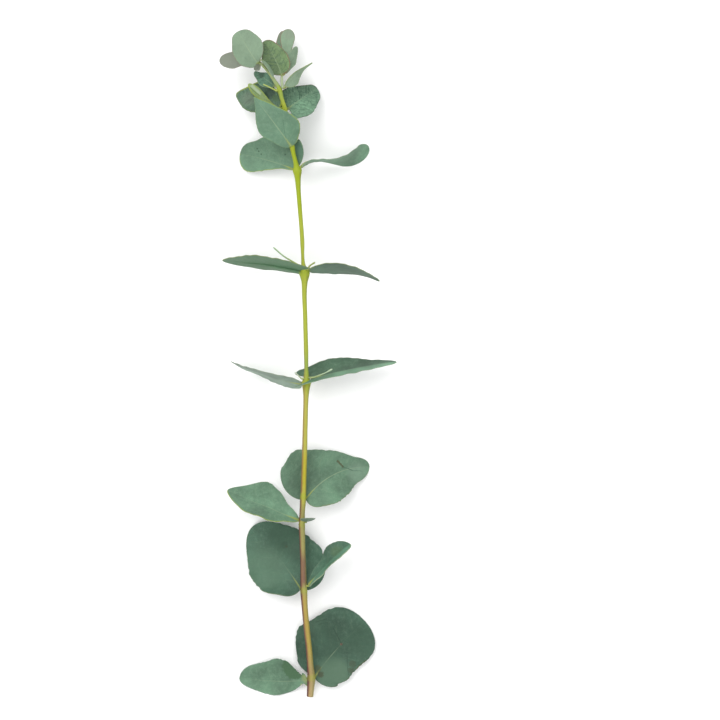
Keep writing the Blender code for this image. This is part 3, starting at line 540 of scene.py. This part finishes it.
    # The rib under the blade: it comes out of the stem and thins out towards the tip.
    # Where the neck starts "sink" mm down the stem, it starts from the main stem.
    sink = look.get("sink", 0.0)
    bones = BONES[:STEM_BONES] if sink else BONES
    root = bones[max(np.argmin(np.linalg.norm(bones - middle[0], axis=1)) - round(sink / BONE_STEP), 0)]
    at = np.linspace(0.0, 0.90, 46)
    where = np.stack([np.interp(at, u, p[:, c // 2, k]) for k in range(3)], axis=1)
    below = np.stack([np.interp(at, u, normal[:, c // 2, k]) for k in range(3)], axis=1)
    strong = look.get("rib", min(0.62, 0.016 * length / MM + 0.12))
    radius = strong * (0.16 + 0.84 * (1 - at / 0.90) ** 1.3) * MM
    keel = where - below * (radius - 0.10 * MM)[:, None]
    reach = np.linalg.norm(root - keel[0])
    ahead = keel[2] - keel[0]
    ahead = ahead / np.linalg.norm(ahead) * reach * (0.08 if sink else 0.45)
    t = np.linspace(0.0, 1.0, 12)[:, None]
    neck = (1 - t) ** 2 * root + 2 * t * (1 - t) * (keel[0] - ahead) + t**2 * keel[0]
    path = np.concatenate((neck[:-1], keel))
    swell = look.get("neck", 1.5)
    radius = np.concatenate((radius[0] * (1 + (swell - 1) * (1 - t[:-1, 0]) ** 1.5), radius))
    radius[-1] *= 0.5
    sides = 10
    rib_points, rib_faces, ring, _ = tube(path, radius[:, None], sides, start=2 * r * c)
    rib_points[:, 2] = np.maximum(rib_points[:, 2], FLOOR_GAP)
    rib_u = np.concatenate((np.zeros(11), at))[ring]
    rib_a = np.concatenate(((t[:-1, 0] - 1) * reach / MM, np.interp(at, u, along)))[ring]
    zero = np.zeros_like(rib_a)

    points = np.concatenate((top.reshape(-1, 3), bottom.reshape(-1, 3), rib_points))
    on_blade = np.stack((A, C, E), axis=2).reshape(-1, 3)
    shared = np.stack((U, V), axis=2).reshape(-1, 2)
    fields = {
        "blade": np.concatenate((on_blade, on_blade, np.stack((rib_a, zero, zero + 9), axis=1))),
        "place": np.concatenate((
            np.column_stack((shared, np.zeros(r * c))), np.column_stack((shared, np.ones(r * c))),
            np.stack((rib_u, zero, zero + 1), axis=1))),
    }
    thing = add_mesh(name + "_fine", points, faces + rib_faces, fields)

    f = (VIEW_H - REF_H) / (VIEW_H - top[..., 2])
    seen_x = CENTRE + (top[..., 0] - (CENTRE - PLAN_X) * PX) * f / PX
    seen_y = CENTRE - (top[..., 1] - (PLAN_Y - CENTRE) * PX) * f / PX

    def spot(px, py):
        """Where on the blade, in mm along and across, a plan point is seen."""
        i = np.unravel_index(np.argmin((seen_x - px) ** 2 + (seen_y - py) ** 2), shape)
        return float(A[i]), float(C[i])

    return thing, spot, length / MM


# ---- materials -----------------------------------------------------------------------------------
class Graph:
    """A material's node tree, with short names for the nodes it is made of."""

    def __init__(self, name):
        self.material = bpy.data.materials.new(name)
        self.material.use_nodes = True
        self.tree = self.material.node_tree
        self.shader = self.tree.nodes["Principled BSDF"]

    def node(self, kind, **settings):
        made = self.tree.nodes.new("ShaderNode" + kind)
        for key, value in settings.items():
            setattr(made, key, value)
        return made

    def feed(self, socket, value):
        if isinstance(value, bpy.types.NodeSocket):
            self.tree.links.new(value, socket)
        else:
            socket.default_value = value

    def math(self, operation, *values, clamp=False):
        made = self.node("Math", operation=operation, use_clamp=clamp)
        for socket, value in zip(made.inputs, values):
            self.feed(socket, value)
        return made.outputs[0]

    def add(self, a, b):
        return self.math("ADD", a, b)

    def times(self, a, b):
        return self.math("MULTIPLY", a, b)

    def most(self, a, b):
        return self.math("MAXIMUM", a, b)

    def ramp(self, value, low, high, out_low=0.0, out_high=1.0):
        """Smoothly from out_low at low to out_high at high."""
        made = self.node("MapRange", interpolation_type="SMOOTHSTEP", clamp=True)
        for socket, x in zip(made.inputs, (value, low, high, out_low, out_high)):
            self.feed(socket, x)
        return made.outputs[0]

    def field(self, name):
        return self.node("Attribute", attribute_name=name).outputs["Vector"]

    def split(self, vector):
        made = self.node("SeparateXYZ")
        self.feed(made.inputs[0], vector)
        return made.outputs

    def join(self, x, y, z):
        made = self.node("CombineXYZ")
        for socket, value in zip(made.inputs, (x, y, z)):
            self.feed(socket, value)
        return made.outputs[0]

    def noise(self, vector, scale, detail=2.0, rough=0.5):
        made = self.node("TexNoise", noise_dimensions="3D")
        for key, value in (("Vector", vector), ("Scale", scale), ("Detail", detail), ("Roughness", rough)):
            self.feed(made.inputs[key], value)
        return made.outputs[0]

    def cells(self, vector, scale, feature="F1"):
        made = self.node("TexVoronoi", feature=feature)
        self.feed(made.inputs["Vector"], vector)
        self.feed(made.inputs["Scale"], scale)
        return made.outputs

    def blend(self, amount, a, b, kind="MIX"):
        made = self.node("Mix", data_type="RGBA", blend_type=kind, clamp_factor=True)
        self.feed(made.inputs[0], amount)
        for socket, value in ((made.inputs[6], a), (made.inputs[7], b)):
            self.feed(socket, (*value, 1.0) if isinstance(value, tuple) else value)
        return made.outputs[2]

    def finish(self, colour, rough, height, relief):
        self.feed(self.shader.inputs["Base Color"], colour)
        self.feed(self.shader.inputs["Roughness"], rough)
        bump = self.node("Bump")
        bump.inputs["Strength"].default_value = 0.6
        bump.inputs["Distance"].default_value = relief * MM
        self.feed(bump.inputs["Height"], height)
        self.tree.links.new(bump.outputs[0], self.shader.inputs["Normal"])
        return self.material


def leaf_material(name, look, seed, spot, length):
    g = Graph(name)
    light = look.get("light", 1.0)
    body = tone(look["tone"], light)
    a, c, edge = g.split(g.field("blade"))
    u, v, under = g.split(g.field("place"))
    far = g.math("ABSOLUTE", c)
    flat = g.join(g.add(a, seed * 37.0), c, g.times(under, 60.0))

    # Painted light and shade on the blade's left and right half, then soft mottling of the leaf's own green, from wide
    # drifts down to a fine grain.
    broad = g.noise(flat, 0.045, 1.0)
    large = g.noise(flat, 0.13, 2.0)
    middle = g.noise(flat, 0.40, 3.0, 0.6)
    fine = g.noise(flat, 1.4, 3.0, 0.6)
    grain = g.noise(flat, 4.5, 2.0)
    left, right = look.get("half_shading", (1.0, 1.0))
    drift = look.get("drift", 1.0)
    shade = g.ramp(c, -1.2, 1.2, left, right)
    for wave, swing in ((broad, 0.19), (large, 0.09), (middle, 0.07), (fine, 0.07), (grain, 0.06)):
        shade = g.times(shade, g.ramp(wave, 0.30, 0.70, 1 - drift * swing, 1 + drift * swing))
    colour = g.blend(1.0, body, g.join(shade, shade, shade), "MULTIPLY")
    colour = g.blend(g.ramp(middle, 0.45, 0.75, 0.0, 0.12), colour, tone("bloom", light))

    # Side veins: faint lines that leave the midrib and curve forward, lost towards the margin.
    step = look.get("veins", 6.5)
    bend = g.add(g.times(far, VEIN_RISE), g.times(g.times(c, c), 0.008))
    wander = g.times(g.add(g.noise(flat, 0.16, 2.0), -0.5), 0.9 * step)
    phase = g.add(g.times(g.add(g.math("SUBTRACT", a, bend), wander), 1.0 / step), g.times(g.math("GREATER_THAN", c, 0.0), 0.5))
    part = g.math("FRACT", g.add(phase, 50.0))
    near = g.times(g.math("SUBTRACT", 0.5, g.math("ABSOLUTE", g.add(part, -0.5))), step)
    side = g.times(g.ramp(near, 0.08, 0.55, 1.0, 0.0), g.ramp(far, 0.2, 1.5))
    side = g.times(side, g.times(g.ramp(edge, 0.8, 4.0), g.ramp(large, 0.40, 0.62, 0.15, 1.0)))
    net = g.times(g.ramp(g.cells(g.join(a, c, seed * 5.0), 0.55, "DISTANCE_TO_EDGE")["Distance"], 0.01, 0.09, 1.0, 0.0), g.ramp(fine, 0.35, 0.6))
    rib = g.ramp(far, 0.10, g.ramp(u, 0.0, 0.9, 0.62, 0.26), 1.0, 0.0)
    rib = g.times(rib, g.ramp(u, *look.get("fade", (0.30, 1.0, 1.0, 0.35))))
    colour = g.blend(g.times(g.most(g.times(side, 0.10), g.times(net, 0.05)), g.ramp(under, 0.0, 1.0, 1.0, 2.0)), colour, tone("vein", light))
    wrinkle = look.get("wrinkle", 0.0)
    if wrinkle:
        # Painted shade in sunken veins and creases: dark lines along the veins, a coarse dark net between them and
        # slanting dark streaks.
        mesh = g.ramp(g.cells(g.join(g.add(a, g.times(middle, 3.0)), g.add(c, g.times(large, 3.0)), seed * 3.0), 0.30, "DISTANCE_TO_EDGE")["Distance"], 0.01, 0.10, 1.0, 0.0)
        dark = g.times(g.most(side, g.times(mesh, 0.8)), g.ramp(middle, 0.36, 0.60, 0.25, 1.0))
        colour = g.blend(g.times(dark, wrinkle * 0.62), colour, tone("dark", light * 0.8))
        slant = g.noise(g.join(g.times(g.math("SUBTRACT", a, bend), 0.75), g.times(c, 0.16), seed * 9.0), 1.0, 2.5, 0.65)
        part_ = g.ramp(c, -0.6, 0.6, *look.get("streaks", (1.0, 1.0)))
        colour = g.blend(g.times(g.times(g.ramp(slant, 0.53, 0.62), part_), wrinkle * 0.80), colour, tone("dark", light * 0.85))
    colour = g.blend(g.times(rib, look.get("vein", 0.30)), colour, tone("vein", 0.95 + 0.1 * light))

    # The underside is paler and duller.
    colour = g.blend(g.times(under, 0.55), colour, tone(look.get("under", "mist"), 0.92))

    # Bloom rubbed off in places, small glands and a few specks.
    rubbed = g.ramp(g.noise(g.join(g.times(a, 0.10), g.times(c, 0.22), seed * 3.1), 1.0, 3.0, 0.65), 0.58, 0.70)
    colour = g.blend(g.times(rubbed, 0.22), colour, tone("teal", 0.85 * light))
    glands = g.ramp(g.cells(flat, 1.5)["Distance"], 0.08, 0.22, 1.0, 0.0)
    colour = g.blend(g.times(glands, 0.10), colour, tone("bloom", 1.1))
    specks = g.times(g.ramp(g.cells(flat, 0.16)["Distance"], 0.02, 0.05, 1.0, 0.0), g.ramp(fine, 0.50, 0.56))
    colour = g.blend(g.times(specks, 0.6), colour, tone("brown"))

    # The margin's own thin line.
    band = look.get("rim", 0.45)
    line = g.ramp(g.add(edge, g.times(g.add(fine, -0.5), 0.5 * band)), 0.25 * band, band, 1.0, 0.0)
    left, right = look.get("sides", (0.5, 0.5))
    line = g.times(line, g.times(g.ramp(c, -0.5, 0.5, left, right), g.ramp(large, 0.32, 0.60, 0.45, 1.0)))
    colour = g.blend(line, colour, tone(look.get("margin", "rim")))

    ragged = g.add(g.times(g.add(middle, -0.5), 1.3), g.times(g.add(fine, -0.5), 0.8))
    for px, py, radius, wide, what, amount in look.get("frays", []):
        at_a, at_c = spot(px, py)
        away = g.node("VectorMath", operation="LENGTH")
        g.feed(away.inputs[0], g.join(g.add(a, -at_a), g.add(c, -at_c), 0.0))
        deep = g.ramp(g.add(edge, g.times(ragged, wide)), 0.55 * wide, 1.1 * wide, amount, 0.0)
        colour = g.blend(g.times(deep, g.ramp(away.outputs["Value"], 0.7 * radius, radius, 1.0, 0.0)), colour, tone(what))

    # Yellow along the midrib's base, then the collar where the blade leaves the stem.
    run = min(13.0, 0.26 * length)
    gold = g.times(g.ramp(far, 0.12, g.ramp(a, 0.0, run, 1.5, 0.30), 1.0, 0.0), g.ramp(a, 0.25 * run, run, 1.0, 0.0))
    colour = g.blend(g.times(gold, 0.75 * look.get("gold", 1.0)), colour, tone("gold"))
    collar = g.times(g.ramp(a, -0.8, 1.4, 1.0, 0.0), g.ramp(far, 0.8, 2.0, 1.0, 0.0))
    colour = g.blend(g.times(collar, 0.85), colour, tone(look.get("collar", "collar")))

    # Marks of the single leaf: blotches with ragged outlines, and creases. Some of them are painted shade, such as
    # dark creases, the shadow under an overlapping lobe and a shaded hollow by the stem, and some wide soft blotches
    # paint broad light and shade together with uneven green.
    for px, py, radius, what, amount, *crisp in look.get("spots", []):
        at_a, at_c = spot(px, py)
        away = g.node("VectorMath", operation="LENGTH")
        g.feed(away.inputs[0], g.join(g.add(a, -at_a), g.add(c, -at_c), 0.0))
        gap = g.add(away.outputs["Value"], g.times(ragged, min(radius, 3.0)))
        soft = crisp[0] if crisp else 0.30 if radius < 3 else 0.45
        colour = g.blend(g.ramp(gap, radius * (1 - soft), radius * (1 + soft), amount, 0.0), colour, tone(what, light))
    for x0, y0, x1, y1, half, what, amount in look.get("marks", []):
        (a0, c0), (a1, c1) = spot(x0, y0), spot(x1, y1)
        long = math.hypot(a1 - a0, c1 - c0)
        da, dc = (a1 - a0) / long, (c1 - c0) / long
        pa, pc = g.add(a, -a0), g.add(c, -c0)
        forth = g.add(g.times(pa, da), g.times(pc, dc))
        across = g.math("ABSOLUTE", g.add(g.times(pa, -dc), g.times(pc, da)))
        past = g.most(g.math("MULTIPLY", forth, -1.0), g.add(forth, -long))
        gap = g.add(g.most(across, past), g.times(ragged, half))
        colour = g.blend(g.ramp(gap, 0.35 * half, 1.35 * half, amount, 0.0), colour, tone(what))

    rough = g.add(g.ramp(middle, 0.3, 0.7, 0.50, 0.62), g.times(rubbed, -0.08))
    lines = g.most(rib, g.times(side, 0.35 + 0.5 * wrinkle))
    relief = g.add(g.times(lines, g.ramp(under, 0.0, 1.0, -0.55, 0.8)), g.add(g.times(grain, 0.25), g.times(fine, 0.35)))
    g.shader.inputs["Specular IOR Level"].default_value = 0.28
    return g.finish(colour, rough, relief, 0.14)


def bark(hexa):
    return tuple(p * BARK_SHADE for p in linear(hexa))


def colour_run(g, value, stops):
    """A run of colours: stops are (place from 0 to 1, tone in hex)."""
    made = g.node("ValToRGB")
    g.feed(made.inputs[0], value)
    bar = made.color_ramp
    bar.interpolation = "EASE"
    while len(bar.elements) < len(stops):
        bar.elements.new(0.5)
    for element, (place, hexa) in zip(bar.elements, stops):
        element.position = place
        element.color = (*bark(hexa), 1.0)
    return made.outputs[0]


# The stem's colour from its cut end up: plan y and tone.
BARK = {
    "wood": "c0a878", "tan": "ae9866", "ochre": "bda552", "straw": "aaa463", "mauve": "8c6a58", "olive": "c0bd50",
    "yellow": "c2b626", "lime": "b2bf3c", "bright": "a3b80c", "soft": "9db54c", "grey": "a4b880",
}
STEM_COLOURS = [
    (696, "wood"), (672, "tan"), (645, "ochre"), (600, "ochre"), (588, "straw"), (580, "mauve"), (564, "mauve"),
    (545, "straw"), (512, "straw"), (500, "olive"), (478, "yellow"), (462, "yellow"), (446, "olive"), (400, "olive"),
    (384, "lime"), (366, "soft"), (345, "lime"), (230, "lime"), (200, "bright"), (154, "bright"), (108, "lime"), (92, "soft"), (80, "grey"), (62, "grey"),
]
NODES = [677, 590, 524, 496, 382, 273, 170, 146, 108, 89]
FLARES = {382: 0.45, 273: 0.60, 170: 0.42}      # in mm


def stem_material(name, place_of):
    """place_of turns a plan y into a place from 0 to 1 along the stem."""
    g = Graph(name)
    run, turn, core = g.split(g.field("run"))
    x, y, z = g.split(g.field("skin"))
    part = g.times(run, 1.0 / RUN_MM)
    stops = [(place_of(y_), BARK[name_]) for y_, name_ in STEM_COLOURS]
    colour = colour_run(g, part, stops)
    skin = g.join(g.times(x, 3.0), g.times(y, 3.0), g.times(run, 0.28))
    soft = g.noise(g.join(g.times(x, 1.2), g.times(y, 1.2), g.times(run, 0.10)), 1.0, 3.0, 0.6)
    fibre = g.noise(skin, 1.0, 3.0, 0.6)
    fine = g.noise(g.join(x, y, run), 6.0, 2.0)
    colour = g.blend(g.ramp(soft, 0.40, 0.70, 0.0, 0.16), colour, bark("d2c86a"))
    colour = g.blend(g.ramp(fibre, 0.30, 0.48, 0.30, 0.0), colour, bark("7d7433"))
    # Its right flank is a little darker, painted shade on the side turned away from the light, and one side is
    # reddish, the more so the nearer to the cut end.
    colour = g.blend(g.ramp(g.add(x, g.times(g.add(soft, -0.5), 0.6)), 0.75, 1.5, 0.0, 0.42), colour, bark("7c8440"))
    brown = g.times(g.ramp(g.add(x, g.times(g.add(fibre, -0.5), 0.9)), -1.0, -0.10, 1.0, 0.0), g.ramp(run, RUN_MM * 0.38, RUN_MM * 0.62, 1.0, 0.12))
    colour = g.blend(g.times(brown, 0.66), colour, bark("98704e"))
    red = g.times(g.ramp(g.add(x, g.times(g.add(soft, -0.5), 1.1)), -1.65, -0.85, 1.0, 0.0), g.ramp(run, RUN_MM * 0.26, RUN_MM * 0.44, 1.0, 0.0))
    colour = g.blend(g.times(red, 0.85), colour, bark("5c2e3a"))
    streaks = g.ramp(g.noise(g.join(g.times(x, 4.0), g.times(y, 4.0), g.times(run, 0.6)), 1.0, 2.0, 0.6), 0.60, 0.72)
    colour = g.blend(g.times(streaks, g.ramp(run, RUN_MM * 0.10, RUN_MM * 0.6, 0.5, 0.06)), colour, bark("7a4a38"))
    for at in NODES:
        mm = place_of(at) * RUN_MM
        near = g.ramp(g.math("ABSOLUTE", g.add(run, -mm)), 0.8, 3.2, 1.0, 0.0)
        colour = g.blend(g.times(near, 0.55 if at < 500 else 0.30), colour, bark("a9bb30"))
    dots = g.ramp(g.cells(g.join(g.times(x, 2.0), g.times(y, 2.0), g.times(run, 0.7)), 1.0)["Distance"], 0.10, 0.20, 1.0, 0.0)
    colour = g.blend(g.times(dots, g.ramp(run, RUN_MM * 0.3, RUN_MM * 0.7, 0.35, 0.12)), colour, bark("8b6a45"))
    # The cut: pale wood with rings, a thin green bark line and a brown pith.
    rings = g.noise(g.join(g.times(core, 9.0), 0.0, 0.0), 1.0, 2.0)
    wood = g.blend(g.ramp(rings, 0.35, 0.65), bark("cdbb8f"), bark("a98f62"))
    wood = g.blend(g.ramp(core, 0.06, 0.24, 1.0, 0.0), wood, bark("6b4a30"))
    wood = g.blend(g.ramp(core, 0.84, 0.93), wood, bark("8a8c45"))
    cut = g.math("LESS_THAN", run, 0.02)
    colour = g.blend(cut, colour, wood)
    rough = g.ramp(fibre, 0.3, 0.7, 0.40, 0.58)
    height = g.add(g.times(fibre, 0.9), g.add(g.times(fine, 0.25), g.times(dots, 0.35)))
    g.shader.inputs["Specular IOR Level"].default_value = 0.22
    return g.finish(colour, rough, height, 0.14)


def shoot_material(name, low, high, tip):
    g = Graph(name)
    run, turn, core = g.split(g.field("run"))
    x, y, z = g.split(g.field("skin"))
    fibre = g.noise(g.join(g.times(x, 2.5), g.times(y, 2.5), g.times(run, 0.5)), 1.0, 3.0, 0.6)
    fine = g.noise(g.join(x, y, run), 5.0, 2.0)
    colour = g.blend(g.ramp(core, 0.05, 0.75), bark(low), bark(high))
    colour = g.blend(g.ramp(core, 0.80, 1.0, 0.0, 0.7), colour, bark(tip))
    colour = g.blend(g.ramp(fibre, 0.35, 0.65, 0.30, 0.0), colour, bark("93a76a"))
    colour = g.blend(g.ramp(fine, 0.50, 0.75, 0.0, 0.20), colour, bark("dfe8c8"))
    g.shader.inputs["Specular IOR Level"].default_value = 0.40
    return g.finish(colour, g.ramp(fibre, 0.3, 0.7, 0.42, 0.58), g.add(fibre, g.times(fine, 0.4)), 0.10)


# ---- stem and shoots -----------------------------------------------------------------------------
def fine_stem(name, points, steps, sides, seed, cut_end):
    """A stem as closed rings. The field run has mm along it, turn, and how far out from the core on a cut end."""
    path, radius, station, at = stem_path(points, steps)
    turn = 2 * np.pi * np.arange(sides) / sides
    run = at / MM
    uneven = 1 + 0.018 * unevenness(run[:, None] / 60 + 0.12 * np.cos(turn)[None], seed, 1.0, 5.0)
    uneven += 0.014 * np.cos(4 * turn + 0.02 * run[:, None]) + 0.010 * np.sin(7 * turn + 0.05 * run[:, None])
    rings = radius[:, None] * uneven
    for y in NODES:
        if name != "main_stem":
            break
        mm = station[0] + np.interp(-y, [-q[1] for q in points], station) / MM
        # Each pair of leaves leaves a low collar, and two ridges that run down from it.
        collar = np.exp(-(((run - mm + 0.6) / 0.55) ** 2)) * 0.10 - np.exp(-(((run - mm - 0.7) / 0.45) ** 2)) * 0.07
        ridge = np.exp(-(((mm - run) / 9.0).clip(0) ** 1.2)) * (run < mm) * 0.07
        rings += (collar[:, None] + ridge[:, None] * np.cos(2 * turn[None])) * MM
        if y in FLARES:
            # Below a pair that stands out to both sides, the stem widens towards the two leaves.
            flare = np.exp(-(((mm - run).clip(0) / 3.0) ** 1.5)) * np.exp(-(((run - mm).clip(0) / 1.5) ** 2)) * FLARES[y]
            rings += flare[:, None] * np.cos(turn[None]) ** 2 * MM
    core = np.ones(steps)
    if cut_end:
        # The cut face: rings that close towards the core, slightly dished.
        inner = np.array((0.16, 0.34, 0.52, 0.70, 0.86, 0.96))
        along = (path[1] - path[0]) / np.linalg.norm(path[1] - path[0])
        dish = np.array((0.10, 0.04, 0.02, 0.0, -0.01, 0.02)) * MM
        face = path[0] + along[None] * dish[:, None]
        path = np.concatenate((face, path))
        rings = np.concatenate((rings[:1] * inner[:, None], rings))
        rings[len(inner)] *= 0.985
        run = np.concatenate((np.zeros(len(inner)), run + 0.05))
        core = np.concatenate((inner, core))
    # Rings on one spot have no direction of their own, so the tube's frames come from the clean path.
    clean = path.copy()
    if cut_end:
        clean[:len(inner)] = clean[len(inner)] - along[None] * (np.arange(len(inner), 0, -1) * 0.1 * MM)[:, None]
    along_, side, up = frames(clean)
    out = side[:, None] * np.cos(turn)[None, :, None] + up[:, None] * np.sin(turn)[None, :, None]
    places = path[:, None] + out * rings[..., None]
    n = len(path)
    ends = np.array((path[0], path[-1]))
    everything = np.concatenate((places.reshape(-1, 3), ends))
    faces = []
    for i in range(n - 1):
        for j in range(sides):
            k = (j + 1) % sides
            faces.append((i * sides + j, (i + 1) * sides + j, (i + 1) * sides + k, i * sides + k))
    for j in range(sides):
        k = (j + 1) % sides
        faces.append((n * sides, j, k))
        faces.append((n * sides + 1, (n - 1) * sides + k, (n - 1) * sides + j))
    skin = (out * (rings / MM)[..., None]).reshape(-1, 3)
    skin[:, 1] = np.tile(np.sin(turn), n) * rings.reshape(-1) / MM
    fields = {
        "run": np.concatenate((
            np.stack((np.repeat(run, sides), np.tile(turn, n), np.repeat(core, sides)), axis=1),
            ((run[0], 0.0, 0.0), (run[-1], 0.0, 1.0)))),
        "skin": np.concatenate((skin, np.zeros((2, 3)))),
    }
    everything[:, 2] = np.maximum(everything[:, 2], FLOOR_GAP)
    return add_mesh(name + "_fine", everything, faces, fields), run[-1]


def fine_shoot(name, points, seed, bud):
    """A bare side shoot: a thin stalk, ending in two leaves folded against each other."""
    path, radius, _, at = stem_path(points, 80)
    # It starts inside the stem, so that it grows out of it without a gap.
    bones = BONES[:STEM_BONES]
    root = bones[np.argmin(np.linalg.norm(bones - path[0], axis=1))]
    path = np.concatenate(((0.75 * root + 0.25 * path[0])[None], path))
    radius = np.concatenate((radius[:1], radius))
    at = np.concatenate(([0.0], at))
    part = at / at[-1]
    sides = 14
    turn = 2 * np.pi * np.arange(sides) / sides
    swell = 1 + 0.30 * np.exp(-(((part - 0.86) / 0.10) ** 2)) * bud - 0.16 * np.exp(-(((part - 0.62) / 0.14) ** 2)) * bud
    swell *= np.sqrt(np.clip((1.0 - part) / 0.06, 0.02, 1))
    flare = 1 + 0.5 * np.exp(-part / 0.06)
    fold = 1 - 0.16 * bud * np.clip((part - 0.55) / 0.2, 0, 1)[:, None] * (np.cos(2 * turn[None]) > 0.86)
    rings = (radius * swell * flare)[:, None] * fold * (1 + 0.03 * unevenness(part[:, None] + 0.1 * np.cos(turn)[None], seed, 2, 9))
    everything, faces, ring, angle = tube(path, rings, sides)
    run = at / MM
    out = np.stack((np.cos(angle), np.sin(angle), np.zeros_like(angle)), axis=1) * 0.5
    fields = {"run": np.stack((run[ring], angle, part[ring]), axis=1), "skin": out}
    return add_mesh(name + "_fine", everything, faces, fields)


# ---- the branch ----------------------------------------------------------------------------------
def make_branch():
    global RUN_MM
    stem, RUN_MM = fine_stem("main_stem", STEM, 820, 24, 11, True)
    _, _, station, _ = stem_path(STEM, 100)
    heights = [-q[1] for q in STEM]
    stem.data.materials.append(stem_material("stem_skin", lambda y: float(np.interp(-y, heights, station / station[-1]))))
    keep(stem, "main_stem")

    arm, _ = fine_stem("right_arm", SHOOTS["right_arm"], 40, 18, 12, False)
    arm.data.materials.append(shoot_material("arm_skin", "a9bb78", "b4c49a", "b4c49c"))
    keep(arm, "right_arm")
    shoots = {
        "shoot_5_right": ("b6c98a", "c2dab8", "d2e6cc", 1.0), "shoot_5_left": ("c2cf92", "d3dfc8", "dfe8d8", 0.8),
        "shoot_6_left": ("adc35a", "9fc48c", "a9cf9a", 0.4), "shoot_6_right": ("b4bf50", "9fae55", "a9b96a", 0.4),
        "shoot_fork": ("b5c458", "bccb6a", "c8d68c", 0.3),
    }
    for seed, (name, (low, high, tip, bud)) in enumerate(shoots.items()):
        shoot = fine_shoot(name, SHOOTS[name], 20 + seed, bud)
        shoot.data.materials.append(shoot_material(name + "_skin", low, high, tip))
        keep(shoot, name)

    for seed, (name, leaf) in enumerate(LEAVES.items()):
        look = LOOKS[name]
        blade_, spot, length = fine_leaf(name, leaf, look, seed + 1)
        blade_.data.materials.append(leaf_material(name + "_skin", look, seed + 1, spot, length))
        keep(blade_, name)


def keep(piece, node):
    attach(piece, "root")
    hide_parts(node)


# ---- floor, light and camera ---------------------------------------------------------------------
def make_stage():
    mesh = bpy.data.meshes.new("floor")
    mesh.from_pydata([(-4, -4, 0), (4, -4, 0), (4, 4, 0), (-4, 4, 0)], [], [(0, 1, 2, 3)])
    floor = bpy.data.objects.new("floor", mesh)
    bpy.context.scene.collection.objects.link(floor)
    g = Graph("floor_paper")
    place = g.node("TexCoord").outputs["Object"]
    colour = g.blend(g.ramp(g.noise(place, 40.0, 3.0), 0.3, 0.7), (0.905, 0.905, 0.905), (0.92, 0.92, 0.92))
    g.feed(g.shader.inputs["Base Color"], colour)
    g.shader.inputs["Roughness"].default_value = 0.9
    g.shader.inputs["Specular IOR Level"].default_value = 0.1
    mesh.materials.append(g.material)

    world = bpy.data.worlds.new("studio")
    world.use_nodes = True
    sky = world.node_tree.nodes["Background"]
    sky.inputs["Color"].default_value = (1.0, 1.0, 1.0, 1.0)
    sky.inputs["Strength"].default_value = 1.10
    bpy.context.scene.world = world

    def panel(name, place, size, power, colour):
        data = bpy.data.lights.new(name, "AREA")
        data.shape, data.size, data.energy, data.color = "DISK", size, power, colour
        lamp = bpy.data.objects.new(name, data)
        lamp.location = place
        lamp.rotation_euler = (-Vector(place)).to_track_quat("-Z", "Y").to_euler()
        bpy.context.scene.collection.objects.link(lamp)

    panel("key_panel", (-0.9, 0.9, 2.0), 1.8, 26.0, (1.0, 0.995, 0.98))
    panel("fill_panel", (1.2, -0.7, 1.8), 1.8, 7.0, (0.98, 0.99, 1.0))


def make_camera():
    data = bpy.data.cameras.new("camera")
    data.sensor_width = 36.0
    data.lens = 36.0 * (VIEW_H - REF_H) / (720 * PX)
    data.clip_start, data.clip_end = 0.05, 20.0
    camera = bpy.data.objects.new("camera", data)
    camera.location = ((CENTRE - PLAN_X) * PX, (PLAN_Y - CENTRE) * PX, VIEW_H)
    bpy.context.scene.collection.objects.link(camera)
    bpy.context.scene.camera = camera


make_branch()
make_stage()
make_camera()
bpy.context.scene.view_settings.view_transform = "Standard"
bpy.context.view_layer.update()
